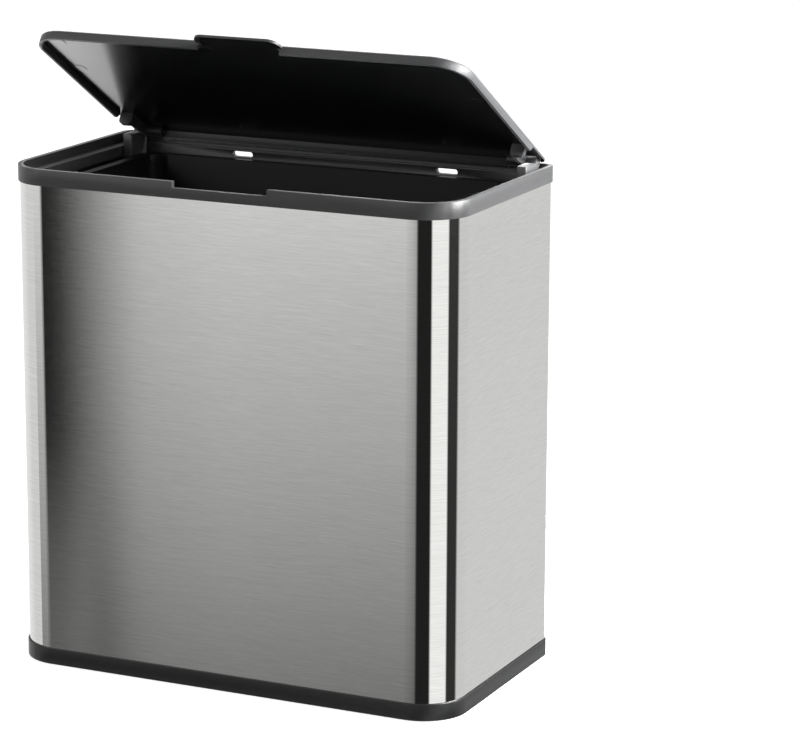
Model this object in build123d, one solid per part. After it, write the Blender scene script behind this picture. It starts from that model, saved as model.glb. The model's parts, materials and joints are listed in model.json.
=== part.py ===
from build123d import *

import math
import os

# Wall-mounted waste bin: steel sleeve between a plastic collar and a plastic base,
# with a hinged lid and a lift-out bucket. Millimetres, +Z up, front towards -Y,
# origin at the middle of the underside. The lid stands partly open.

# Body plan
WIDTH = 380.0
DEPTH = 200.0
FRONT_RADIUS = 36.0
REAR_RADIUS = 10.0
HALF_WIDTH = WIDTH / 2
FRONT = -DEPTH / 2
REAR = DEPTH / 2

# Steel sleeve and back panel
SHEET = 1.0
SLEEVE_INSET = 1.3
SLEEVE_BOTTOM = 9.0
SLEEVE_TOP = 387.3
SLEEVE_RETURN_X = 150.0
PANEL_SHEET = 1.2
PANEL_HALF_WIDTH = 162.0
PANEL_TOP = 373.8
RIVET_X = 156.0
RIVET_HEIGHTS = (60.0, 160.0, 260.0, 350.0)

# Collar round the mouth
COLLAR_TOP = 397.0
BAND_HEIGHT = 12.6
LIP = 4.0
REAR_LIP = 3.0
LEDGE_TOP = 389.0
MOUTH_HALF_WIDTH = 178.0
MOUTH_FRONT = -89.0
MOUTH_REAR = 94.0
MOUTH_FRONT_RADIUS = 26.0
MOUTH_REAR_RADIUS = 2.0
GROOVE_CLEARANCE = 0.1
APRON = 2.0
APRON_BOTTOM = 372.0
NOTCH_HALF_WIDTH = 40.0
NOTCH_DEPTH = 5.0
HANGER_HALF_WIDTH = 149.5
HANGER_BOTTOM = 374.0
HANGER_FRONT = 93.2
SLOT_X = (-82.0, 98.8)
SLOT_Z = 385.0
SLOT_LENGTH = 19.0
SLOT_HEIGHT = 4.6
BOSS_HEIGHT = 4.0
WEDGE_REACH = 6.0
WEDGE_HEIGHT = 7.0
COLLAR_SCREW_X = (-130.0, -60.0, 60.0, 130.0)
COLLAR_SCREW_Z = 370.0

# Base tray
BASE_BOTTOM = 0.8
BASE_TOP = 14.0
FLOOR_BOTTOM = 6.5
FLOOR_TOP = 9.0
BASE_WALL = 1.6
BASE_WALL_TOP = 21.0
INNER_WALL = 2.3
RAIL_TOP = 17.0
RAIL_Y = 48.0
RAIL_HALF_LENGTH = 135.0
RAIL_WIDTH = 6.0
RIB_SPACING = 60.0
BASE_SCREW_X = (-120.0, -40.0, 40.0, 120.0)
BASE_SCREW_Z = 17.5
FOOT_X = 150.0
FOOT_Y = 66.0
FOOT_LENGTH = 24.0
FOOT_WIDTH = 14.0
FOOT_TOP = 3.0
FOOT_EDGE = 0.8
BOSS_MARGIN = 2.0

# Lid, modelled shut and then turned to its open angle
LID_OPEN = 31.5
HINGE_Y = 91.3
HINGE_Z = 399.0
KNUCKLE_RADIUS = 4.5
LID_TOP = HINGE_Z + KNUCKLE_RADIUS
LID_PLATE = 2.7
LID_UNDERSIDE = LID_TOP - LID_PLATE
LID_HALF_WIDTH = 182.6
LID_FRONT = -94.6
LID_REAR = HINGE_Y + KNUCKLE_RADIUS
LID_FRONT_RADIUS = 26.5
LID_REAR_RADIUS = 5.0
SKIRT_DEPTH = 7.3
SKIRT_THICKNESS = 2.4
SKIRT_BOTTOM = LID_TOP - SKIRT_DEPTH
SKIRT_END_Y = 65.0
SKIRT_END_SLANT = 5.0
TAB_HALF_WIDTH = 36.0
TAB_REACH = 12.0
TAB_RADIUS = 9.0
TAB_THICKNESS = 2.0
TAB_GAP_HALF_WIDTH = 34.5
TAB_GAP_RADIUS = 3.0
REAR_SKIRT_HALF_WIDTH = 152.5
REAR_SKIRT_BOTTOM = 394.0
LID_EDGE = 1.0

# Hinge: posts on the collar, knuckles under the lid
POST_INNER = 169.5
POST_OUTER = 177.5
POST_FRONT = 68.0
POST_REAR = 93.0
POST_BOTTOM = 376.0
POST_TOP = 398.6
SHELF_INNER = 166.6
SHELF_THICKNESS = 3.0
SHELF_FRONT = 65.0
KNUCKLE_INNER = 153.0
KNUCKLE_OUTER = 168.9
WEB_INNER = 166.4
WEB_FRONT = 62.0
WEB_BOTTOM = 392.2
WEB_BEND = 76.0
POST_ROOM = 0.7
POST_ROOM_FRONT = 2.5
POST_ROOM_DEPTH = 8.0
LUG_FRONT = 60.5
LUG_REAR = 65.0
LUG_BOTTOM = 391.2
LUG_OUTER = 177.5
LUG_RADIUS = 3.0
PIN_RADIUS = 2.5
RUNNING_CLEARANCE = 0.05
BEARING_INNER = 164.4
PIN_TIP_RADIUS = 1.5
PIN_TIP_INNER = 156.5
PIN_SHOULDER = 164.6
DAMPER_RADIUS = 3.4
DAMPER_BORE = 3.5
DAMPER_INNER = 154.8
DAMPER_OUTER = 163.9
SOCKET_SPARE = 0.5
CAP_THICKNESS = 1.6
CAP_SLOT_HALF_LENGTH = 2.2
CAP_SLOT_HALF_WIDTH = 0.5
POST_SCREW_X = 173.5
POST_SCREW_Y = (74.0, 88.0)
POST_SCREW_DEPTH = 6.0
POST_EDGE = 1.2

# Rubber buffers under the shut lid
BUFFER_X = 120.0
BUFFER_Y = -92.6
BUFFER_RADIUS = 2.8
BUFFER_TOP = 396.0
BUFFER_EDGE = 0.8

# Lift-out bucket
RIM_TOP = 382.0
RIM_HALF_WIDTH = 166.0
RIM_FRONT = -88.0
RIM_REAR = 92.0
RIM_RADIUS = 22.0
RIM_OVERHANG = 6.5
RIM_DROP = 7.0
BUCKET_WALL = 2.0
BUCKET_BOTTOM = RAIL_TOP
BUCKET_DRAFT = 5.0
RIM_EDGE = 0.8
RECESS_DEPTH = 12.5
RECESS_MOUTH = (-22.0, 41.0)
RECESS_FLAT = (-10.0, 29.0)
RECESS_RADIUS = 4.0
HOLE_RADIUS = 19.5
HOLE_Y = 9.5
HOLE_BELOW_RIM = 47.0

# Small fasteners
SCREW_RADIUS = 1.5
SCREW_HEAD_RADIUS = 3.2
SCREW_HEAD = 1.2
RIVET_RADIUS = 1.6
RIVET_HEAD_RADIUS = 3.0
RIVET_HEAD = 0.8
FASTENER_SIDES = 8

SIDES = (("left", -1), ("right", 1))
HINGE_AXIS = Axis((0, HINGE_Y, HINGE_Z), (1, 0, 0))


def rounded_plan(half_width, front, rear, front_radius, rear_radius):
    """Rectangle in plan with its own radius on the front and the rear corners."""
    plan = Pos(0, (front + rear) / 2) * Rectangle(2 * half_width, rear - front)
    plan = fillet(plan.vertices().group_by(Axis.Y)[0], front_radius)
    return fillet(plan.vertices().group_by(Axis.Y)[-1], rear_radius)


def rounded_block(half_width, front, rear, front_radius, rear_radius, bottom, top):
    plan = rounded_plan(half_width, front, rear, front_radius, rear_radius)
    return Pos(0, 0, bottom) * extrude(plan, amount=top - bottom)


def body_block(inset, bottom, top):
    """Upright block on the body's plan, drawn in all round by the inset."""
    return rounded_block(
        HALF_WIDTH - inset,
        FRONT + inset,
        REAR - inset,
        FRONT_RADIUS - inset,
        REAR_RADIUS - inset,
        bottom,
        top,
    )


def span_box(low, high):
    """Box between two opposite corners."""
    size = [b - a for a, b in zip(low, high)]
    middle = [(a + b) / 2 for a, b in zip(low, high)]
    return Pos(*middle) * Box(*size)


def rod_x(radius, start, end, y, z):
    return Pos((start + end) / 2, y, z) * Rot(0, 90, 0) * Cylinder(radius, abs(end - start))


def small_rod(radius, start, end, x, z):
    """Level fastener shank, head or hole that points backwards, with few sides."""
    outline = RegularPolygon(radius, FASTENER_SIDES)
    return Pos(x, end, z) * Rot(90, 0, 0) * extrude(outline, amount=end - start)


def small_post(radius, bottom, top, x, y):
    """Upright fastener shank, head or hole, with few sides."""
    outline = RegularPolygon(radius, FASTENER_SIDES)
    return Pos(x, y, bottom) * extrude(outline, amount=top - bottom)


def side_profile(points, start, end):
    """Plate between two X planes, from corner points given as (Y, Z)."""
    face = make_face(Polyline(*[(start, y, z) for y, z in points], close=True))
    return extrude(face, amount=end - start, dir=(1, 0, 0))


def rear_screw(x, z, head_face, tip):
    """Pan-head screw driven forward from the back."""
    shank = small_rod(SCREW_RADIUS, tip, head_face, x, z)
    head = small_rod(SCREW_HEAD_RADIUS, head_face, head_face + SCREW_HEAD, x, z)
    return shank + head


def make_sleeve():
    sleeve = body_block(SLEEVE_INSET, SLEEVE_BOTTOM, SLEEVE_TOP)
    sleeve -= body_block(SLEEVE_INSET + SHEET, SLEEVE_BOTTOM - 1, SLEEVE_TOP + 1)
    sleeve -= span_box(
        (-SLEEVE_RETURN_X, REAR_RADIUS, SLEEVE_BOTTOM - 1),
        (SLEEVE_RETURN_X, REAR + 1, SLEEVE_TOP + 1),
    )
    for side in (-1, 1):
        for height in RIVET_HEIGHTS:
            sleeve -= small_rod(RIVET_RADIUS, REAR - 10, REAR + 1, side * RIVET_X, height)
    return sleeve


def panel_faces():
    """Front and back Y of the back panel's sheet, inside the sleeve's returns."""
    back = REAR - SLEEVE_INSET - SHEET
    return back - PANEL_SHEET, back


def make_back_panel():
    front, back = panel_faces()
    panel = span_box((-PANEL_HALF_WIDTH, front, SLEEVE_BOTTOM), (PANEL_HALF_WIDTH, back, PANEL_TOP))
    for side in (-1, 1):
        for height in RIVET_HEIGHTS:
            panel -= small_rod(RIVET_RADIUS, front - 1, back + 1, side * RIVET_X, height)
    for x in COLLAR_SCREW_X:
        panel -= small_rod(SCREW_RADIUS, front - 1, back + 1, x, COLLAR_SCREW_Z)
    for x in BASE_SCREW_X:
        panel -= small_rod(SCREW_RADIUS, front - 1, back + 1, x, BASE_SCREW_Z)
    return panel


def make_rivets():
    front, back = panel_faces()
    rivets = []
    for side in (-1, 1):
        for height in RIVET_HEIGHTS:
            x = side * RIVET_X
            shank = small_rod(RIVET_RADIUS, front, back + SHEET, x, height)
            head = small_rod(RIVET_HEAD_RADIUS, back + SHEET, back + SHEET + RIVET_HEAD, x, height)
            rivets.append(shank + head)
    return Compound(rivets)


def make_collar():
    """Band on top of the sleeve, with a ledge inside it and an apron down to the bucket's rim."""
    front, _ = panel_faces()
    collar = body_block(0, COLLAR_TOP - BAND_HEIGHT, COLLAR_TOP)
    collar -= rounded_block(
        HALF_WIDTH - LIP,
        FRONT + LIP,
        REAR - REAR_LIP,
        FRONT_RADIUS - LIP,
        REAR_RADIUS - LIP,
        LEDGE_TOP,
        COLLAR_TOP + 1,
    )
    collar -= body_block(SLEEVE_INSET - GROOVE_CLEARANCE, APRON_BOTTOM, SLEEVE_TOP)
    collar += rounded_block(
        MOUTH_HALF_WIDTH + APRON,
        MOUTH_FRONT - APRON,
        MOUTH_REAR + APRON,
        MOUTH_FRONT_RADIUS + APRON,
        MOUTH_REAR_RADIUS + APRON,
        APRON_BOTTOM,
        LEDGE_TOP,
    )
    collar += span_box(
        (-HANGER_HALF_WIDTH, MOUTH_REAR, HANGER_BOTTOM),
        (HANGER_HALF_WIDTH, REAR, LEDGE_TOP),
    )
    collar += span_box(
        (-HANGER_HALF_WIDTH, HANGER_FRONT, COLLAR_SCREW_Z - BOSS_HEIGHT),
        (HANGER_HALF_WIDTH, front, HANGER_BOTTOM),
    )
    collar -= mouth_block(MOUTH_REAR, HANGER_BOTTOM, COLLAR_TOP + 1)
    collar -= mouth_block(HANGER_FRONT, APRON_BOTTOM - 10, HANGER_BOTTOM)
    collar -= span_box(
        (-NOTCH_HALF_WIDTH, FRONT - 1, COLLAR_TOP - NOTCH_DEPTH),
        (NOTCH_HALF_WIDTH, FRONT + LIP + 1, COLLAR_TOP + 1),
    )
    for side in (-1, 1):
        inner, outer = sorted((side * SHELF_INNER, side * (MOUTH_HALF_WIDTH + APRON / 2)))
        collar += span_box(
            (inner, SHELF_FRONT, POST_BOTTOM - SHELF_THICKNESS),
            (outer, MOUTH_REAR + APRON / 2, POST_BOTTOM),
        )
        for y in POST_SCREW_Y:
            collar -= small_post(SCREW_RADIUS, POST_BOTTOM - 5, POST_BOTTOM + 1, side * POST_SCREW_X, y)
        collar -= rear_corner_wedge(side)
    for x in SLOT_X:
        slot = extrude(SlotOverall(SLOT_LENGTH, SLOT_HEIGHT), amount=10, both=True)
        collar -= Pos(x, REAR, SLOT_Z) * Rot(90, 0, 0) * slot
    for x in COLLAR_SCREW_X:
        collar -= small_rod(SCREW_RADIUS, HANGER_FRONT - 1, REAR - 3, x, COLLAR_SCREW_Z)
    return collar


def mouth_block(rear, bottom, top):
    """Space inside the collar, back to the given rear face."""
    return rounded_block(
        MOUTH_HALF_WIDTH,
        MOUTH_FRONT,
        rear,
        MOUTH_FRONT_RADIUS,
        MOUTH_REAR_RADIUS,
        bottom,
        top,
    )


def rear_corner_wedge(side):
    """Slanted relief under the collar band where it meets the wall."""
    band_bottom = COLLAR_TOP - BAND_HEIGHT
    points = [
        (REAR - WEDGE_REACH, band_bottom),
        (REAR + 1, band_bottom + WEDGE_HEIGHT),
        (REAR + 1, band_bottom - 1),
        (REAR - WEDGE_REACH, band_bottom - 1),
    ]
    sleeve_side = HALF_WIDTH - SLEEVE_INSET + RUNNING_CLEARANCE
    return side_profile(points, *sorted((side * sleeve_side, side * (HALF_WIDTH + 1))))


def make_base():
    """Tray under the sleeve, with an inner wall, two rails for the bucket and ribs below."""
    front, _ = panel_faces()
    base = body_block(0, BASE_BOTTOM, BASE_TOP)
    base -= body_block(SLEEVE_INSET - GROOVE_CLEARANCE, FLOOR_TOP, BASE_TOP + 1)
    base -= body_block(BASE_WALL, BASE_BOTTOM - 1, FLOOR_BOTTOM)
    wall_inset = SLEEVE_INSET + SHEET + PANEL_SHEET + GROOVE_CLEARANCE
    wall = body_block(wall_inset, FLOOR_TOP, BASE_WALL_TOP)
    wall -= body_block(wall_inset + INNER_WALL, FLOOR_TOP, BASE_WALL_TOP + 1)
    base += wall
    for y in (-RAIL_Y, RAIL_Y):
        base += span_box(
            (-RAIL_HALF_LENGTH, y - RAIL_WIDTH / 2, FLOOR_TOP),
            (RAIL_HALF_LENGTH, y + RAIL_WIDTH / 2, RAIL_TOP),
        )
    for step in (-2, -1, 0, 1, 2):
        x = step * RIB_SPACING
        base += span_box(
            (x - BASE_WALL / 2, FRONT + BASE_WALL, BASE_BOTTOM + 1),
            (x + BASE_WALL / 2, REAR - BASE_WALL, FLOOR_BOTTOM),
        )
    for x, y in foot_places():
        base += foot_block(x, y, BOSS_MARGIN, FOOT_TOP, FLOOR_BOTTOM)
    for x in BASE_SCREW_X:
        base -= small_rod(SCREW_RADIUS, front - INNER_WALL - 1, front + 1, x, BASE_SCREW_Z)
    return base


def foot_places():
    return [(x, y) for y in (-FOOT_Y, FOOT_Y) for x in (-FOOT_X, FOOT_X)]


def foot_block(x, y, margin, bottom, top):
    """Block on a foot's plan, wider all round by the margin."""
    half_length = FOOT_LENGTH / 2 + margin
    half_width = FOOT_WIDTH / 2 + margin
    return span_box((x - half_length, y - half_width, bottom), (x + half_length, y + half_width, top))


def make_foot(x, y):
    pad = foot_block(x, y, 0, 0, FOOT_TOP)
    return chamfer(pad.edges().group_by(Axis.Z)[0], FOOT_EDGE)


def make_post(side):
    """Upright that carries the hinge pin, with its knuckle at the top rear."""
    start, end = sorted((side * POST_INNER, side * POST_OUTER))
    stem_points = [
        (POST_FRONT, POST_BOTTOM),
        (POST_FRONT, POST_TOP),
        (HINGE_Y - KNUCKLE_RADIUS, POST_TOP),
        (POST_REAR, HINGE_Z - KNUCKLE_RADIUS),
        (POST_REAR, POST_BOTTOM),
    ]
    stem = side_profile(stem_points, start, end)
    front_edges = stem.edges().filter_by(Axis.Z).group_by(Axis.Y)[0]
    stem = fillet(front_edges, POST_EDGE)
    post = stem + rod_x(KNUCKLE_RADIUS, start, end, HINGE_Y, HINGE_Z)
    post -= rod_x(PIN_RADIUS, start - 1, end + 1, HINGE_Y, HINGE_Z)
    for y in POST_SCREW_Y:
        post -= small_post(
            SCREW_RADIUS, POST_BOTTOM - 1, POST_BOTTOM + POST_SCREW_DEPTH, side * POST_SCREW_X, y
        )
    return post


def make_post_screws():
    screws = []
    head_top = POST_BOTTOM - SHELF_THICKNESS
    for side in (-1, 1):
        for y in POST_SCREW_Y:
            x = side * POST_SCREW_X
            shank = small_post(SCREW_RADIUS, head_top, POST_BOTTOM + POST_SCREW_DEPTH, x, y)
            screws.append(shank + small_post(SCREW_HEAD_RADIUS, head_top - SCREW_HEAD, head_top, x, y))
    return Compound(screws)


def make_pin(side):
    shank = rod_x(PIN_RADIUS, *sorted((side * PIN_SHOULDER, side * POST_OUTER)), HINGE_Y, HINGE_Z)
    tip = rod_x(PIN_TIP_RADIUS, *sorted((side * PIN_TIP_INNER, side * PIN_SHOULDER)), HINGE_Y, HINGE_Z)
    return shank + tip


def make_damper(side):
    """Rotary damper cartridge inside the lid's knuckle."""
    body = rod_x(DAMPER_RADIUS, *sorted((side * DAMPER_INNER, side * DAMPER_OUTER)), HINGE_Y, HINGE_Z)
    socket_ends = sorted((side * (PIN_TIP_INNER - SOCKET_SPARE), side * (DAMPER_OUTER + 1)))
    return body - rod_x(PIN_TIP_RADIUS + RUNNING_CLEARANCE, *socket_ends, HINGE_Y, HINGE_Z)


def make_damper_cap(side):
    """Disc that closes the knuckle's inner end, with a key slot across it."""
    inner = side * KNUCKLE_INNER
    outer = side * (KNUCKLE_INNER + CAP_THICKNESS)
    cap = rod_x(DAMPER_BORE, *sorted((inner, outer)), HINGE_Y, HINGE_Z)
    slot_start, slot_end = sorted((inner - side, inner + side * CAP_THICKNESS / 2))
    return cap - span_box(
        (slot_start, HINGE_Y - CAP_SLOT_HALF_LENGTH, HINGE_Z - CAP_SLOT_HALF_WIDTH),
        (slot_end, HINGE_Y + CAP_SLOT_HALF_LENGTH, HINGE_Z + CAP_SLOT_HALF_WIDTH),
    )


def lid_plan(inset):
    return rounded_plan(
        LID_HALF_WIDTH - inset,
        LID_FRONT + inset,
        LID_REAR,
        LID_FRONT_RADIUS - inset,
        LID_REAR_RADIUS,
    )


def make_lid():
    plate = Pos(0, 0, LID_UNDERSIDE) * extrude(lid_plan(0), amount=LID_PLATE)
    plate = chamfer(plate.edges().group_by(Axis.Z)[-1], LID_EDGE)
    rear_skirt = span_box(
        (-REAR_SKIRT_HALF_WIDTH, LID_REAR - SKIRT_THICKNESS, REAR_SKIRT_BOTTOM),
        (REAR_SKIRT_HALF_WIDTH, LID_REAR, LID_UNDERSIDE),
    )
    lid = plate + make_skirt() + rear_skirt + make_tab()
    for side in (-1, 1):
        lid += knuckle_and_web(side)
        post_room = sorted((side * KNUCKLE_OUTER, side * (POST_OUTER + POST_ROOM)))
        lid -= span_box(
            (post_room[0], HINGE_Y - KNUCKLE_RADIUS - POST_ROOM_FRONT, LID_UNDERSIDE - POST_ROOM_DEPTH),
            (post_room[1], LID_REAR + 1, LID_TOP + 1),
        )
        damper_bore = sorted((side * (KNUCKLE_INNER - 1), side * BEARING_INNER))
        lid -= rod_x(DAMPER_BORE, *damper_bore, HINGE_Y, HINGE_Z)
        bearing = sorted((side * (BEARING_INNER - 1), side * (KNUCKLE_OUTER + 1)))
        lid -= rod_x(PIN_RADIUS + RUNNING_CLEARANCE, *bearing, HINGE_Y, HINGE_Z)
    return lid


def make_skirt():
    """Rim under the lid's front and sides, with slanted rear ends and a break at the tab."""
    skirt_plan = lid_plan(0) - lid_plan(SKIRT_THICKNESS)
    skirt = Pos(0, 0, SKIRT_BOTTOM) * extrude(skirt_plan, amount=LID_UNDERSIDE - SKIRT_BOTTOM)
    rear_points = [
        (SKIRT_END_Y - SKIRT_END_SLANT, SKIRT_BOTTOM - 1),
        (SKIRT_END_Y, LID_UNDERSIDE),
        (LID_REAR + 1, LID_UNDERSIDE),
        (LID_REAR + 1, SKIRT_BOTTOM - 1),
    ]
    skirt -= side_profile(rear_points, -LID_HALF_WIDTH - 1, LID_HALF_WIDTH + 1)
    return skirt - tab_gap()


def tab_gap():
    """Round-cornered break in the front skirt, under the finger tab."""
    depth = LID_UNDERSIDE - SKIRT_BOTTOM + TAB_GAP_RADIUS
    outline = RectangleRounded(2 * TAB_GAP_HALF_WIDTH, 2 * depth, TAB_GAP_RADIUS)
    gap = extrude(outline, amount=2 * SKIRT_THICKNESS, both=True)
    return Pos(0, LID_FRONT, LID_UNDERSIDE - depth) * Rot(90, 0, 0) * gap


def make_tab():
    tab_front = LID_FRONT - TAB_REACH
    tab = span_box(
        (-TAB_HALF_WIDTH, tab_front, LID_UNDERSIDE),
        (TAB_HALF_WIDTH, LID_FRONT + TAB_RADIUS, LID_UNDERSIDE + TAB_THICKNESS),
    )
    corners = tab.edges().filter_by(Axis.Z).group_by(Axis.Y)[0]
    return fillet(corners, TAB_RADIUS)


def knuckle_and_web(side):
    """Hinge knuckle, the gooseneck web in front of it and the lug beside the skirt."""
    knuckle = rod_x(KNUCKLE_RADIUS, *sorted((side * KNUCKLE_INNER, side * KNUCKLE_OUTER)), HINGE_Y, HINGE_Z)
    web_points = [
        (WEB_FRONT, LID_UNDERSIDE),
        (WEB_FRONT, WEB_BOTTOM),
        (WEB_BEND, WEB_BOTTOM),
        (HINGE_Y, HINGE_Z - KNUCKLE_RADIUS),
        (HINGE_Y, LID_UNDERSIDE),
    ]
    web = side_profile(web_points, *sorted((side * WEB_INNER, side * KNUCKLE_OUTER)))
    inner, outer = sorted((side * WEB_INNER, side * LUG_OUTER))
    lug = span_box((inner, LUG_FRONT, LUG_BOTTOM), (outer, LUG_REAR, LID_UNDERSIDE))
    lower_edges = lug.edges().filter_by(Axis.Y).group_by(Axis.Z)[0]
    return knuckle + web + fillet(lower_edges, LUG_RADIUS)


def make_buffer(side):
    middle = (LEDGE_TOP + BUFFER_TOP) / 2
    buffer = Pos(side * BUFFER_X, BUFFER_Y, middle) * Cylinder(BUFFER_RADIUS, BUFFER_TOP - LEDGE_TOP)
    return chamfer(buffer.edges().group_by(Axis.Z)[-1], BUFFER_EDGE)


def bucket_plan(inset):
    """Bucket outline in plan, with the hand recess in its right side."""
    half_width = RIM_HALF_WIDTH - inset
    front = RIM_FRONT + inset
    rear = RIM_REAR - inset
    recess_x = half_width - RECESS_DEPTH
    mouth_front, mouth_rear = RECESS_MOUTH
    flat_front, flat_rear = RECESS_FLAT
    points = [
        (-half_width, front),
        (half_width, front),
        (half_width, mouth_front),
        (recess_x, flat_front),
        (recess_x, flat_rear),
        (half_width, mouth_rear),
        (half_width, rear),
        (-half_width, rear),
    ]
    plan = make_face(Polyline(*points, close=True))
    bends = plan.vertices().filter_by_position(Axis.Y, mouth_front - 1, mouth_rear + 1)
    plan = fillet(bends, RECESS_RADIUS)
    corners = plan.vertices().group_by(Axis.Y)
    return fillet(corners[0] + corners[-1], RIM_RADIUS - inset)


def drafted_block(inset, bottom):
    """Block on the bucket's plan that narrows downwards: the inset is at the rim."""
    taper = math.degrees(math.atan(BUCKET_DRAFT / (RIM_TOP - BUCKET_BOTTOM)))
    return Pos(0, 0, RIM_TOP) * extrude(bucket_plan(inset), amount=bottom - RIM_TOP, taper=taper)


def make_bucket():
    outside = drafted_block(RIM_OVERHANG, BUCKET_BOTTOM)
    inside = drafted_block(RIM_OVERHANG + BUCKET_WALL, BUCKET_BOTTOM + BUCKET_WALL)
    rim = Pos(0, 0, RIM_TOP - RIM_DROP) * extrude(bucket_plan(0), amount=RIM_DROP)
    rim = chamfer(rim.edges().group_by(Axis.Z)[-1], RIM_EDGE)
    under_rim = Pos(0, 0, RIM_TOP - RIM_DROP) * extrude(
        bucket_plan(BUCKET_WALL), amount=RIM_DROP - BUCKET_WALL
    )
    bucket = (rim - under_rim) + outside - inside
    hole_z = RIM_TOP - HOLE_BELOW_RIM
    return bucket - rod_x(HOLE_RADIUS, RIM_HALF_WIDTH - 40, RIM_HALF_WIDTH + 5, HOLE_Y, hole_z)


def lid_open(part):
    """Turns a lid piece from its shut place to the open angle."""
    return part.rotate(HINGE_AXIS, -LID_OPEN)


def build_nodes():
    panel_front, panel_back = panel_faces()
    nodes = {
        "steel_sleeve": make_sleeve(),
        "back_panel": make_back_panel(),
        "panel_rivets": make_rivets(),
        "collar": make_collar(),
        "base": make_base(),
        "hinge_post_screws": make_post_screws(),
        "collar_screws": Compound(
            [rear_screw(x, COLLAR_SCREW_Z, panel_back, HANGER_FRONT) for x in COLLAR_SCREW_X]
        ),
        "base_screws": Compound(
            [rear_screw(x, BASE_SCREW_Z, panel_back, panel_front - INNER_WALL) for x in BASE_SCREW_X]
        ),
        "lid": lid_open(make_lid()),
        "bucket": make_bucket(),
    }
    for name, place in zip(("front_left", "front_right", "rear_left", "rear_right"), foot_places()):
        nodes["foot_" + name] = make_foot(*place)
    for name, side in SIDES:
        nodes["hinge_post_" + name] = make_post(side)
        nodes["hinge_pin_" + name] = make_pin(side)
        nodes["damper_" + name] = lid_open(make_damper(side))
        nodes["damper_cap_" + name] = lid_open(make_damper_cap(side))
        nodes["lid_buffer_" + name] = make_buffer(side)
    return nodes


os.makedirs("parts", exist_ok=True)
for node_name, shape in build_nodes().items():
    export_step(shape, "parts/" + node_name + ".step")
    print(node_name, round(shape.volume))
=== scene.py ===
import json
import math

import bmesh
import bpy
from mathutils import Matrix, Vector


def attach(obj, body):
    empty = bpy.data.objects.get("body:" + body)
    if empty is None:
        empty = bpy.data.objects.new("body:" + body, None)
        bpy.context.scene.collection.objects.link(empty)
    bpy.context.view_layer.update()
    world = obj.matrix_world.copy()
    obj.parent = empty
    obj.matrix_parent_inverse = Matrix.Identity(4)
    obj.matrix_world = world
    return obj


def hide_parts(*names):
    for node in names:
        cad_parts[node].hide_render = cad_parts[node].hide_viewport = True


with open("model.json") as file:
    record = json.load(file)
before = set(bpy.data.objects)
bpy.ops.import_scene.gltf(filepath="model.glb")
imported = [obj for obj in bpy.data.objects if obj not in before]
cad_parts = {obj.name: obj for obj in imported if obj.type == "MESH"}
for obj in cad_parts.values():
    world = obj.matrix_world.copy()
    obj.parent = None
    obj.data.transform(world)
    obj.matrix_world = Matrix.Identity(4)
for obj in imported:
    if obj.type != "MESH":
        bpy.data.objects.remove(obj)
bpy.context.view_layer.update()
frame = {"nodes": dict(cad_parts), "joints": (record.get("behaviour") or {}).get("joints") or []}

# Camera: a long lens from the front right, looking a little down
CAMERA_AZIMUTH = math.radians(25.0)
CAMERA_ELEVATION = math.radians(13.34)
CAMERA_ROLL = math.radians(0.25)
CAMERA_DISTANCE = 2.5927
CAMERA_TARGET = Vector((0.1032, 0.0, 0.2438))
FOCAL_PIXELS = 3369.0
FRAME_WIDTH_PIXELS = 800.0
SENSOR_WIDTH = 36.0

# Lid: the angle it stands at, its hinge, and where its underside lies above the hinge's axis
LID_OPEN = math.radians(31.5)
HINGE = Vector(frame["joints"][0]["pos_m"])
LID_DOWN = Vector((0.0, -math.sin(LID_OPEN), -math.cos(LID_OPEN)))
LID_LENGTH_TO_HINGE = 0.1859
LID_PLATE_UNDERSIDE = 0.0018


# Node helpers

def new_material(name):
    material = bpy.data.materials.new(name)
    material.use_nodes = True
    nodes = material.node_tree.nodes
    nodes.clear()
    output = nodes.new("ShaderNodeOutputMaterial")
    shader = nodes.new("ShaderNodeBsdfPrincipled")
    material.node_tree.links.new(shader.outputs["BSDF"], output.inputs["Surface"])
    return material, material.node_tree, shader


def add(tree, kind, **settings):
    """Adds a node; settings name its properties, and i_NAME or i_NUMBER its inputs."""
    node = tree.nodes.new("ShaderNode" + kind)
    for key, value in settings.items():
        if key.startswith("i_"):
            name = key[2:]
            socket = node.inputs[int(name) if name.isdigit() else name.replace("_", " ")]
            if isinstance(value, bpy.types.NodeSocket):
                tree.links.new(value, socket)
            else:
                socket.default_value = value
        else:
            setattr(node, key, value)
    return node


def link(tree, source, target):
    tree.links.new(source, target)


def math_node(tree, operation, first, second):
    return add(tree, "Math", operation=operation, i_0=first, i_1=second).outputs[0]


def weighted_sum(tree, first, first_weight, second, second_weight):
    return math_node(
        tree,
        "ADD",
        math_node(tree, "MULTIPLY", first, first_weight),
        math_node(tree, "MULTIPLY", second, second_weight),
    )


def ramp(tree, factor, stops):
    """Colour ramp from (position, grey or colour) stops."""
    node = add(tree, "ValToRGB", i_Fac=factor)
    elements = node.color_ramp.elements
    while len(elements) < len(stops):
        elements.new(1.0)
    for element, (position, value) in zip(elements, stops):
        element.position = position
        colour = (value, value, value) if isinstance(value, float) else value
        element.color = (*colour, 1.0)
    return node.outputs["Color"]


def object_coordinates(tree, scale=(1.0, 1.0, 1.0)):
    place = add(tree, "TexCoord").outputs["Object"]
    return add(tree, "Mapping", i_Vector=place, i_Scale=scale).outputs["Vector"]


def noise(tree, vector, scale=1.0, detail=2.0, roughness=0.5):
    node = add(tree, "TexNoise", i_Vector=vector, i_Scale=scale, i_Detail=detail, i_Roughness=roughness)
    return node.outputs["Fac"]


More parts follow.
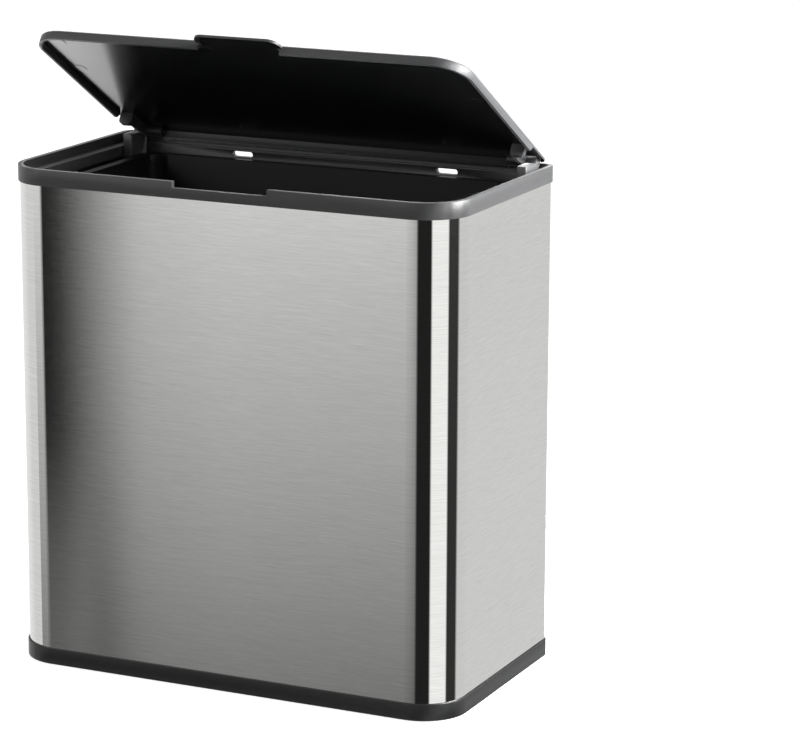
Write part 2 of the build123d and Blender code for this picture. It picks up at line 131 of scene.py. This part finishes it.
def mix_colour(tree, factor, first, second):
    """First colour where the factor is 0, second where it is 1."""
    node = add(tree, "Mix", data_type="RGBA")
    for value, index in ((factor, 0), (first, 6), (second, 7)):
        if isinstance(value, bpy.types.NodeSocket):
            link(tree, value, node.inputs[index])
        else:
            node.inputs[index].default_value = value if index == 0 else (*value, 1.0)
    return node.outputs[2]


def mix_level(tree, factor, first, second):
    """First number where the factor is 0, second where it is 1."""
    return add(tree, "Mix", data_type="FLOAT", i_0=factor, i_2=first, i_3=second).outputs[0]


def slide(tree, value, limits, levels):
    """Goes from the first level to the second as the value crosses the limits."""
    node = add(
        tree, "MapRange", i_Value=value, i_1=limits[0], i_2=limits[1], i_3=levels[0], i_4=levels[1]
    )
    return node.outputs["Result"]


def remap(tree, value, low, high):
    """Takes a 0 to 1 value to the low to high range."""
    return slide(tree, value, (0.0, 1.0), (low, high))


def between(tree, value, limits):
    """1 where the value lies between the limits, else 0."""
    above = math_node(tree, "GREATER_THAN", value, limits[0])
    below = math_node(tree, "LESS_THAN", value, limits[1])
    return math_node(tree, "MULTIPLY", above, below)


def bump(tree, height, strength, distance):
    node = add(tree, "Bump", i_Strength=strength, i_Distance=distance, i_Height=height)
    return node.outputs["Normal"]


# Steel: scales of the brushing per metre, round the sleeve and up it
STREAK_SCALE = (38.0, 38.0, 2600.0)
HAIRLINE_SCALE = (110.0, 110.0, 6000.0)
BROAD_BAND_SCALE = (1.2, 1.2, 22.0)
STREAK_WEIGHT = 0.6
HAIRLINE_WEIGHT = 0.4
STEEL_TONES = (
    (0.32, (0.58, 0.58, 0.565)),
    (0.5, (0.66, 0.66, 0.645)),
    (0.68, (0.74, 0.74, 0.725)),
)


def brushed_steel():
    """Stainless sheet, brushed level all round the sleeve."""
    material, tree, shader = new_material("brushed_steel")
    streaks = noise(tree, object_coordinates(tree, STREAK_SCALE), detail=3.0, roughness=0.6)
    hairlines = noise(tree, object_coordinates(tree, HAIRLINE_SCALE))
    broad_bands = noise(tree, object_coordinates(tree, BROAD_BAND_SCALE))
    brushing = weighted_sum(tree, streaks, STREAK_WEIGHT, hairlines, HAIRLINE_WEIGHT)
    colour = ramp(tree, brushing, STEEL_TONES)
    tone = remap(tree, broad_bands, 0.96, 1.03)
    toned = add(tree, "VectorMath", operation="SCALE", i_0=colour, i_Scale=tone).outputs[0]
    link(tree, toned, shader.inputs["Base Color"])
    link(tree, remap(tree, brushing, 0.035, 0.06), shader.inputs["Roughness"])
    link(tree, bump(tree, brushing, strength=0.12, distance=0.00002), shader.inputs["Normal"])
    shader.inputs["Metallic"].default_value = 1.0
    shader.inputs["Anisotropic"].default_value = 1.0
    shader.inputs["Anisotropic Rotation"].default_value = 0.25
    tangent = add(tree, "Tangent", direction_type="RADIAL", axis="Z")
    link(tree, tangent.outputs["Tangent"], shader.inputs["Tangent"])
    return material


# Plastic: a fine grain, a coarser one under it, and slow clouds of tone
COARSE_GRAIN_SHARE = 0.3
COARSE_GRAIN_WEIGHT = 0.5
CLOUD_SCALE = 14.0
GRAIN_TONE_WEIGHT = 0.6
CLOUD_TONE_WEIGHT = 0.4
SHEEN_ROUGHNESS = 0.35
GRAIN_STRENGTH = 0.5


def moulded_plastic(name, dark, light, rough, grain_scale, grain_depth, sheen=0.0, specular=0.5):
    """Moulded plastic with a fine sparked grain and a satin sheen."""
    material, tree, shader = new_material(name)
    shader.inputs["Sheen Weight"].default_value = sheen
    shader.inputs["Sheen Roughness"].default_value = SHEEN_ROUGHNESS
    shader.inputs["Specular IOR Level"].default_value = specular
    place = object_coordinates(tree)
    grain = noise(tree, place, grain_scale, detail=3.0, roughness=0.6)
    coarse = noise(tree, place, grain_scale * COARSE_GRAIN_SHARE)
    cloud = noise(tree, place, CLOUD_SCALE, detail=3.0, roughness=0.55)
    height = math_node(tree, "ADD", grain, math_node(tree, "MULTIPLY", coarse, COARSE_GRAIN_WEIGHT))
    tone = weighted_sum(tree, grain, GRAIN_TONE_WEIGHT, cloud, CLOUD_TONE_WEIGHT)
    link(tree, mix_colour(tree, tone, dark, light), shader.inputs["Base Color"])
    link(tree, remap(tree, tone, rough[0], rough[1]), shader.inputs["Roughness"])
    link(tree, bump(tree, height, GRAIN_STRENGTH, grain_depth), shader.inputs["Normal"])
    return material


def polished_underside_with_painted_shade():
    """The smooth face that the mould leaves under the lid, in a darker colour than the lid's top: painted
    shade.
    """
    material, tree, shader = new_material("lid_underside_painted_shade")
    cloud = noise(tree, object_coordinates(tree), scale=30.0, detail=3.0)
    colour = mix_colour(tree, cloud, (0.006, 0.0061, 0.0064), (0.011, 0.0112, 0.0117))
    link(tree, colour, shader.inputs["Base Color"])
    link(tree, remap(tree, cloud, 0.17, 0.22), shader.inputs["Roughness"])
    link(tree, bump(tree, cloud, strength=0.05, distance=0.0001), shader.inputs["Normal"])
    return material


def rubber():
    """Matt black rubber of the feet and the lid's buffers."""
    material, tree, shader = new_material("foot_rubber")
    grain = noise(tree, object_coordinates(tree), scale=900.0, detail=3.0, roughness=0.6)
    colour = mix_colour(tree, grain, (0.015, 0.015, 0.015), (0.04, 0.04, 0.04))
    link(tree, colour, shader.inputs["Base Color"])
    link(tree, remap(tree, grain, 0.7, 0.9), shader.inputs["Roughness"])
    link(tree, bump(tree, grain, strength=0.4, distance=0.0001), shader.inputs["Normal"])
    return material


def zinc():
    """Plated steel of the screws, rivets and hinge pins."""
    material, tree, shader = new_material("zinc_steel")
    spangle = noise(tree, object_coordinates(tree), scale=420.0, detail=3.0, roughness=0.6)
    colour = mix_colour(tree, spangle, (0.42, 0.43, 0.45), (0.68, 0.69, 0.70))
    link(tree, colour, shader.inputs["Base Color"])
    link(tree, remap(tree, spangle, 0.25, 0.45), shader.inputs["Roughness"])
    link(tree, bump(tree, spangle, strength=0.2, distance=0.00003), shader.inputs["Normal"])
    shader.inputs["Metallic"].default_value = 1.0
    return material


def powder_coat():
    """Dark coat of the back panel, with a slight orange peel."""
    material, tree, shader = new_material("panel_steel")
    place = object_coordinates(tree)
    peel = noise(tree, place, scale=700.0, detail=3.0, roughness=0.55)
    cloud = noise(tree, place, scale=9.0)
    colour = mix_colour(tree, cloud, (0.024, 0.024, 0.025), (0.036, 0.036, 0.038))
    link(tree, colour, shader.inputs["Base Color"])
    link(tree, remap(tree, peel, 0.42, 0.58), shader.inputs["Roughness"])
    link(tree, bump(tree, peel, strength=0.35, distance=0.00012), shader.inputs["Normal"])
    return material


def dress(material, *names):
    for name in names:
        mesh = frame["nodes"][name].data
        mesh.materials.clear()
        mesh.materials.append(material)


def dress_nodes():
    """Gives every node its finish."""
    collar_plastic = moulded_plastic(
        "collar_plastic",
        dark=(0.013, 0.0132, 0.0138),
        light=(0.026, 0.0264, 0.0272),
        rough=(0.36, 0.5),
        grain_scale=1700.0,
        grain_depth=0.0001,
        sheen=0.15,
    )
    # Base: the collar's black plastic painted darker, as painted shade to hold down the key lamp on its
    # sides
    base_plastic_painted_shade = moulded_plastic(
        "base_plastic_painted_shade",
        dark=(0.005, 0.0051, 0.0053),
        light=(0.010, 0.0102, 0.0106),
        rough=(0.3, 0.44),
        grain_scale=1700.0,
        grain_depth=0.0001,
        specular=0.3,
    )
    # Posts: the same black plastic painted lighter, as painted light on their front faces
    post_plastic_painted_light = moulded_plastic(
        "post_plastic_painted_light",
        dark=(0.045, 0.0455, 0.0465),
        light=(0.075, 0.0756, 0.077),
        rough=(0.3, 0.44),
        grain_scale=1700.0,
        grain_depth=0.0001,
        sheen=0.3,
    )
    # Bucket: its black painted darker than the other plastics, as painted shade inside the bin
    bucket_plastic = moulded_plastic(
        "bucket_plastic",
        dark=(0.003, 0.0031, 0.0033),
        light=(0.007, 0.0071, 0.0074),
        rough=(0.3, 0.42),
        grain_scale=1300.0,
        grain_depth=0.00006,
        specular=0.08,
    )
    lid_plastic = moulded_plastic(
        "lid_plastic",
        dark=(0.008, 0.0083, 0.009),
        light=(0.034, 0.035, 0.037),
        rough=(0.4, 0.58),
        grain_scale=1500.0,
        grain_depth=0.00022,
        sheen=0.35,
    )
    damper_plastic = moulded_plastic(
        "damper_plastic",
        dark=(0.07, 0.07, 0.08),
        light=(0.12, 0.12, 0.13),
        rough=(0.25, 0.4),
        grain_scale=900.0,
        grain_depth=0.00005,
    )
    black_rubber = rubber()
    plated_steel = zinc()
    dress(brushed_steel(), "steel_sleeve")
    dress(powder_coat(), "back_panel")
    dress(collar_plastic, "collar", "damper_cap_left", "damper_cap_right")
    dress(base_plastic_painted_shade, "base")
    dress(post_plastic_painted_light, "hinge_post_left", "hinge_post_right")
    dress(bucket_plastic, "bucket")
    dress(lid_plastic, "lid")
    dress(damper_plastic, "damper_left", "damper_right")
    dress(plated_steel, "panel_rivets", "collar_screws", "base_screws", "hinge_post_screws")
    dress(plated_steel, "hinge_pin_left", "hinge_pin_right")
    dress(black_rubber, "lid_buffer_left", "lid_buffer_right")
    dress(black_rubber, "foot_front_left", "foot_front_right", "foot_rear_left", "foot_rear_right")


# Mesh helpers

def new_object(name, data):
    thing = bpy.data.objects.new(name, data)
    bpy.context.scene.collection.objects.link(thing)
    return thing


def finished_mesh(shape, name):
    mesh = bpy.data.meshes.new(name)
    shape.to_mesh(mesh)
    shape.free()
    return mesh


def apply_modifiers(piece):
    bpy.context.view_layer.update()
    depsgraph = bpy.context.evaluated_depsgraph_get()
    worked_mesh = bpy.data.meshes.new_from_object(piece.evaluated_get(depsgraph))
    piece.modifiers.clear()
    piece.data = worked_mesh


# Moulded pieces with their sharp edges broken

EDGE_BREAK = 0.0005
SHARP_FROM = math.radians(35)
FLAT_WITHIN = math.radians(0.5)
WELD_DISTANCE = 0.000002
UNDERSIDE_FACING = 0.99
UNDERSIDE_TOLERANCE = 0.0001


def edge_broken(name, body):
    """Copy of a moulded node with its edges rounded."""
    node = frame["nodes"][name]
    mesh = node.data.copy()
    mesh.name = name + "_moulded"
    shape = bmesh.new()
    shape.from_mesh(mesh)
    bmesh.ops.remove_doubles(shape, verts=shape.verts, dist=WELD_DISTANCE)
    bmesh.ops.dissolve_limit(
        shape, angle_limit=FLAT_WITHIN, verts=shape.verts, edges=shape.edges, delimit={"NORMAL"}
    )
    for face in shape.faces:
        face.smooth = True
    shape.to_mesh(mesh)
    shape.free()
    piece = new_object(mesh.name, mesh)
    piece.matrix_world = node.matrix_world.copy()
    bevel = piece.modifiers.new("edges", "BEVEL")
    bevel.width = EDGE_BREAK
    bevel.segments = 2
    bevel.limit_method = "ANGLE"
    bevel.angle_limit = SHARP_FROM
    bevel.harden_normals = True
    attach(piece, body)
    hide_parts(name)
    return piece


def polish_underside_with_painted_shade(lid, finish):
    """Gives the flat face under the open lid its smooth finish and its painted shade, with level normals."""
    apply_modifiers(lid)
    mesh = lid.data
    # The finish is the underside material: smooth, with its darker colour as painted shade
    mesh.materials.append(finish)
    normals = [corner.vector.copy() for corner in mesh.corner_normals]
    for face in mesh.polygons:
        depth = (HINGE - face.center).dot(LID_DOWN) - LID_PLATE_UNDERSIDE
        if face.normal.dot(LID_DOWN) > UNDERSIDE_FACING and abs(depth) < UNDERSIDE_TOLERANCE:
            face.material_index = 1
            for corner in face.loop_indices:
                normals[corner] = face.normal.copy()
    mesh.normals_split_custom_set(normals)


# Screws and rivets with turned heads: head outlines are (radius, height above the seat)

SCREW_SHANK_RADIUS = 0.0015
SCREW_HEAD = ((0.0032, 0.0), (0.0032, 0.0005), (0.0027, 0.0009), (0.0015, 0.0012), (0.0, 0.0012))
SCREW_HEAD_HEIGHT = 0.0012
RIVET_SHANK_RADIUS = 0.0016
RIVET_HEAD = (
    (0.0030, 0.0), (0.0028, 0.0004), (0.0021, 0.0007), (0.0012, 0.0008), (0.0009, 0.0008), (0.0008, 0.0004),
    (0.0, 0.0004),
)
TURN_STEPS = 32
CENTRE_WELD = 0.000001
CROSS_LENGTH = 0.0034
CROSS_WIDTH = 0.0007
CROSS_DEPTH = 0.0007
FACING_BACK = Matrix.Rotation(-math.pi / 2, 4, "X")
FACING_DOWN = Matrix.Rotation(math.pi, 4, "X")

# Where the fasteners sit: on the panel's back, on the sleeve's returns, and under the collar's shelves
PANEL_BACK_Y = 0.0977
RETURN_BACK_Y = 0.0987
SHELF_UNDERSIDE_Z = 0.373
COLLAR_SCREW_X = (-0.130, -0.060, 0.060, 0.130)
COLLAR_SCREW_Z = 0.370
COLLAR_SCREW_LENGTH = 0.0045
BASE_SCREW_X = (-0.120, -0.040, 0.040, 0.120)
BASE_SCREW_Z = 0.0175
BASE_SCREW_LENGTH = 0.0035
RIVET_X = 0.156
RIVET_Z = (0.060, 0.160, 0.260, 0.350)
RIVET_LENGTH = 0.0022
POST_SCREW_X = 0.1735
POST_SCREW_Y = (0.074, 0.088)
POST_SCREW_LENGTH = 0.009


def turned_piece(shape, head, shank_radius, length, place):
    """Spins one fastener about its own axis and sets it in place, head outwards."""
    outline = [(0.0, -length), (shank_radius, -length), (shank_radius, 0.0)] + list(head)
    verts = [shape.verts.new((radius, 0.0, level)) for radius, level in outline]
    edges = [shape.edges.new(pair) for pair in zip(verts, verts[1:])]
    bmesh.ops.spin(
        shape,
        geom=verts + edges,
        cent=(0, 0, 0),
        axis=(0, 0, 1),
        angle=2 * math.pi,
        steps=TURN_STEPS,
        use_merge=True,
    )
    fresh = [vert for vert in shape.verts if not vert.tag]
    bmesh.ops.transform(shape, matrix=place, verts=fresh)
    for vert in fresh:
        vert.tag = True


def cut_crosses(piece, facing, places):
    """Cuts a driver's cross into each head."""
    shape = bmesh.new()
    lift = Matrix.Translation((0, 0, SCREW_HEAD_HEIGHT))
    for place in places:
        for size in ((CROSS_LENGTH, CROSS_WIDTH), (CROSS_WIDTH, CROSS_LENGTH)):
            scale = Matrix.Diagonal((*size, 2 * CROSS_DEPTH, 1.0))
            arm = Matrix.Translation(place) @ facing @ lift @ scale
            bmesh.ops.create_cube(shape, size=1.0, matrix=arm)
    name = piece.name + "_crosses"
    cutter = new_object(name, finished_mesh(shape, name))
    cut = piece.modifiers.new("crosses", "BOOLEAN")
    cut.operation = "DIFFERENCE"
    cut.solver = "EXACT"
    cut.use_self = True
    cut.object = cutter
    apply_modifiers(piece)
    bpy.data.objects.remove(cutter)


def fasteners(node, head, shank_radius, length, facing, places, crossed):
    """Turned fasteners that stand for a node's few-sided ones."""
    shape = bmesh.new()
    for place in places:
        turned_piece(shape, head, shank_radius, length, Matrix.Translation(place) @ facing)
    bmesh.ops.remove_doubles(shape, verts=shape.verts, dist=CENTRE_WELD)
    bmesh.ops.recalc_face_normals(shape, faces=shape.faces)
    name = node + "_turned"
    piece = new_object(name, finished_mesh(shape, name))
    piece.data.materials.append(frame["nodes"][node].data.materials[0])
    if crossed:
        cut_crosses(piece, facing, places)
    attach(piece, "bin")
    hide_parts(node)


def make_fasteners():
    collar_screws = [(x, PANEL_BACK_Y, COLLAR_SCREW_Z) for x in COLLAR_SCREW_X]
    base_screws = [(x, PANEL_BACK_Y, BASE_SCREW_Z) for x in BASE_SCREW_X]
    rivets = [(x, RETURN_BACK_Y, z) for x in (-RIVET_X, RIVET_X) for z in RIVET_Z]
    post_screws = [(x, y, SHELF_UNDERSIDE_Z) for x in (-POST_SCREW_X, POST_SCREW_X) for y in POST_SCREW_Y]
    screw = (SCREW_HEAD, SCREW_SHANK_RADIUS)
    rivet = (RIVET_HEAD, RIVET_SHANK_RADIUS)
    fasteners("collar_screws", *screw, COLLAR_SCREW_LENGTH, FACING_BACK, collar_screws, crossed=True)
    fasteners("base_screws", *screw, BASE_SCREW_LENGTH, FACING_BACK, base_screws, crossed=True)
    fasteners("panel_rivets", *rivet, RIVET_LENGTH, FACING_BACK, rivets, crossed=False)
    fasteners("hinge_post_screws", *screw, POST_SCREW_LENGTH, FACING_DOWN, post_screws, crossed=True)


# Ejector marks under the lid: (X, distance behind the front edge)

EJECTOR_RADIUS = 0.0055
EJECTOR_FLARE = 1.03
EJECTOR_PROUD = 0.00025
EJECTOR_SIDES = 40
EJECTOR_PLACES = (
    (-0.164, 0.017), (-0.106, 0.019), (-0.171, 0.067), (-0.033, 0.012), (0.037, 0.017), (0.102, 0.015),
    (0.158, 0.020), (0.166, 0.076), (0.169, 0.145),
)


def lid_point(x, from_front, above_hinge):
    """Point of the open lid, by its distance behind the front edge and its height over the hinge."""
    along = LID_LENGTH_TO_HINGE - from_front
    forward = Vector((0.0, -math.cos(LID_OPEN), math.sin(LID_OPEN)))
    return HINGE + Vector((x, 0.0, 0.0)) + forward * along - LID_DOWN * above_hinge


def ejector_marks(finish):
    """Low round marks that the mould's pins leave."""
    shape = bmesh.new()
    turn = Matrix.Rotation(-LID_OPEN, 4, "X")
    for x, from_front in EJECTOR_PLACES:
        centre = lid_point(x, from_front, LID_PLATE_UNDERSIDE - EJECTOR_PROUD / 2)
        bmesh.ops.create_cone(
            shape,
            cap_ends=True,
            segments=EJECTOR_SIDES,
            radius1=EJECTOR_RADIUS,
            radius2=EJECTOR_RADIUS * EJECTOR_FLARE,
            depth=EJECTOR_PROUD,
            matrix=Matrix.Translation(centre) @ turn,
        )
    marks = new_object("ejector_marks", finished_mesh(shape, "ejector_marks"))
    # The marks take the underside material, with its painted shade
    marks.data.materials.append(finish)
    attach(marks, "lid")


# Floor

FLOOR_REACH = 6.0
FLOOR_GLOW = 0.78
WHITE = (1.0, 1.0, 1.0, 1.0)


def make_floor():
    """Pale floor that shows white to the camera and keeps the bin's shadow."""
    shape = bmesh.new()
    bmesh.ops.create_grid(shape, x_segments=1, y_segments=1, size=FLOOR_REACH)
    floor = new_object("floor", finished_mesh(shape, "floor"))
    floor.visible_glossy = False
    material, tree, shader = new_material("floor")
    speckle = noise(tree, object_coordinates(tree), scale=60.0)
    colour = mix_colour(tree, speckle, (0.80, 0.80, 0.80), (0.82, 0.82, 0.82))
    link(tree, colour, shader.inputs["Base Color"])
    shader.inputs["Roughness"].default_value = 0.9
    glow = add(tree, "Emission", i_Color=WHITE)
    lift = math_node(tree, "MULTIPLY", add(tree, "LightPath").outputs["Is Camera Ray"], FLOOR_GLOW)
    link(tree, lift, glow.inputs["Strength"])
    both = add(tree, "AddShader", i_0=shader.outputs[0], i_1=glow.outputs[0])
    output = next(n for n in tree.nodes if n.type == "OUTPUT_MATERIAL")
    link(tree, both.outputs[0], output.inputs["Surface"])
    floor.data.materials.append(material)


# What shiny faces see round the bin: (degrees from the front, positive to the right; level)
SURROUND = (
    (-180, 1.0), (-100, 1.0), (-86, 0.9), (-42, 0.9), (-38, 0.02), (-30.5, 0.02), (-30.35, 0.72), (-28, 0.9),
    (-20, 0.85), (0, 0.6), (5, 0.02), (37, 0.02), (41, 1.25), (80, 1.25), (84, 0.04), (110, 0.04),
    (116, 0.84), (180, 0.84),
)

# In front, by the direction's Z: shade low down, lit ground steep down, and a glow low in the left dark
FRONT_SECTOR = (-60.0, 5.0)
SHADE_HEIGHTS = (-0.35, -0.13)
SHADE_LEVELS = (0.17, 1.2)
GROUND_HEIGHTS = (-0.50, -0.37)
GROUND_LEVELS = (0.7, 0.0)
LEFT_DARK_SECTOR = (-40.0, -30.45)
LEFT_DARK_HEIGHTS = (-0.31, -0.25)
LEFT_DARK_LEVELS = (0.45, 0.0)

# Steep down behind the bin, seen by the lid's underside: dark, with a bright card to the left
STEEP_HEIGHTS = (-0.50, -0.42)
BEHIND_FROM_Y = 0.3
STEEP_DARK = 0.06
CARD_LEFT_OF_DEGREES = -60.0
CARD_EDGE_X = (-0.4970, -0.4860)
CARD_GLOW = 3.2

SOFT_LIGHT = 0.32


def mirrored_surroundings(tree):
    """Grey level by direction, for shiny faces."""
    parts = add(tree, "SeparateXYZ", i_0=add(tree, "TexCoord").outputs["Generated"])
    height = parts.outputs["Z"]
    backward = math_node(tree, "MULTIPLY", parts.outputs["Y"], -1.0)
    angle = math_node(tree, "ARCTAN2", parts.outputs["X"], backward)
    degrees = math_node(tree, "MULTIPLY", angle, 180 / math.pi)
    turn = math_node(tree, "ADD", math_node(tree, "DIVIDE", degrees, 360.0), 0.5)
    surround = ramp(tree, turn, [((place + 180) / 360, float(value)) for place, value in SURROUND])

    shade = slide(tree, height, SHADE_HEIGHTS, SHADE_LEVELS)
    ground = slide(tree, height, GROUND_HEIGHTS, GROUND_LEVELS)
    low_level = math_node(tree, "ADD", shade, ground)
    front_level = mix_level(tree, between(tree, degrees, FRONT_SECTOR), 1.0, low_level)
    low_in_dark = math_node(
        tree,
        "MULTIPLY",
        between(tree, degrees, LEFT_DARK_SECTOR),
        slide(tree, height, LEFT_DARK_HEIGHTS, LEFT_DARK_LEVELS),
    )
    lifted = add(tree, "VectorMath", operation="ADD", i_0=surround, i_1=low_in_dark).outputs[0]
    seen = add(tree, "VectorMath", operation="SCALE", i_0=lifted, i_Scale=front_level).outputs[0]

    card = slide(tree, parts.outputs["X"], CARD_EDGE_X, (CARD_GLOW, STEEP_DARK))
    on_left = math_node(tree, "LESS_THAN", degrees, CARD_LEFT_OF_DEGREES)
    level = mix_level(tree, on_left, STEEP_DARK, card)
    steep_grey = add(tree, "CombineXYZ", i_0=level, i_1=level, i_2=level).outputs[0]
    steep = slide(tree, height, STEEP_HEIGHTS, (1.0, 0.0))
    behind = math_node(tree, "GREATER_THAN", parts.outputs["Y"], BEHIND_FROM_Y)
    return mix_colour(tree, math_node(tree, "MULTIPLY", steep, behind), seen, steep_grey)


def make_world():
    """White to the camera, soft light on matt faces, and the banded surroundings in shiny ones."""
    world = bpy.data.worlds.new("studio")
    bpy.context.scene.world = world
    world.use_nodes = True
    tree = world.node_tree
    tree.nodes.clear()
    mirror = add(tree, "Background", i_Color=mirrored_surroundings(tree), i_Strength=1.0).outputs[0]
    soft = add(tree, "Background", i_Color=WHITE, i_Strength=SOFT_LIGHT).outputs[0]
    white = add(tree, "Background", i_Color=WHITE, i_Strength=1.0).outputs[0]
    path = add(tree, "LightPath")
    lit = add(tree, "MixShader", i_0=path.outputs["Is Glossy Ray"], i_1=soft, i_2=mirror).outputs[0]
    shown = add(tree, "MixShader", i_0=path.outputs["Is Camera Ray"], i_1=lit, i_2=white).outputs[0]
    output = add(tree, "OutputWorld")
    link(tree, shown, output.inputs["Surface"])


def area_light(name, place, aim, size, power):
    light = bpy.data.lights.new(name, "AREA")
    light.shape = "SQUARE"
    light.size = size
    light.energy = power
    lamp = new_object(name, light)
    lamp.location = place
    lamp.rotation_mode = "QUATERNION"
    lamp.rotation_quaternion = (Vector(aim) - Vector(place)).to_track_quat("-Z", "Y")


def make_lights():
    """A key lamp beside the bin for its right faces, and a large weak one from the front left."""
    area_light("key_right", place=(0.95, 0.15, 0.75), aim=(0.15, 0.0, 0.38), size=0.6, power=60.0)
    area_light("fill_left", place=(-1.6, -1.8, 1.3), aim=(0.0, 0.0, 0.25), size=1.4, power=14.0)


def make_camera():
    data = bpy.data.cameras.new("camera")
    camera = new_object("camera", data)
    back = Vector((
        math.sin(CAMERA_AZIMUTH) * math.cos(CAMERA_ELEVATION),
        -math.cos(CAMERA_AZIMUTH) * math.cos(CAMERA_ELEVATION),
        math.sin(CAMERA_ELEVATION),
    ))
    right = Vector((math.cos(CAMERA_AZIMUTH), math.sin(CAMERA_AZIMUTH), 0.0))
    up = back.cross(right)
    rolled_right = right * math.cos(CAMERA_ROLL) + up * math.sin(CAMERA_ROLL)
    rolled_up = up * math.cos(CAMERA_ROLL) - right * math.sin(CAMERA_ROLL)
    turn = Matrix((rolled_right, rolled_up, back)).transposed().to_4x4()
    camera.matrix_world = Matrix.Translation(CAMERA_TARGET + back * CAMERA_DISTANCE) @ turn
    data.sensor_width = SENSOR_WIDTH
    data.lens = SENSOR_WIDTH * FOCAL_PIXELS / FRAME_WIDTH_PIXELS
    data.clip_start = 0.05
    data.clip_end = 50.0
    bpy.context.scene.camera = camera


dress_nodes()
lid_underside_painted_shade = polished_underside_with_painted_shade()
edge_broken("collar", "bin")
edge_broken("base", "bin")
edge_broken("bucket", "bucket")
edge_broken("hinge_post_left", "bin")
edge_broken("hinge_post_right", "bin")
lid = edge_broken("lid", "lid")
polish_underside_with_painted_shade(lid, lid_underside_painted_shade)
make_fasteners()
ejector_marks(lid_underside_painted_shade)

make_floor()
make_world()
make_lights()
make_camera()
bpy.context.scene.view_settings.view_transform = "Standard"
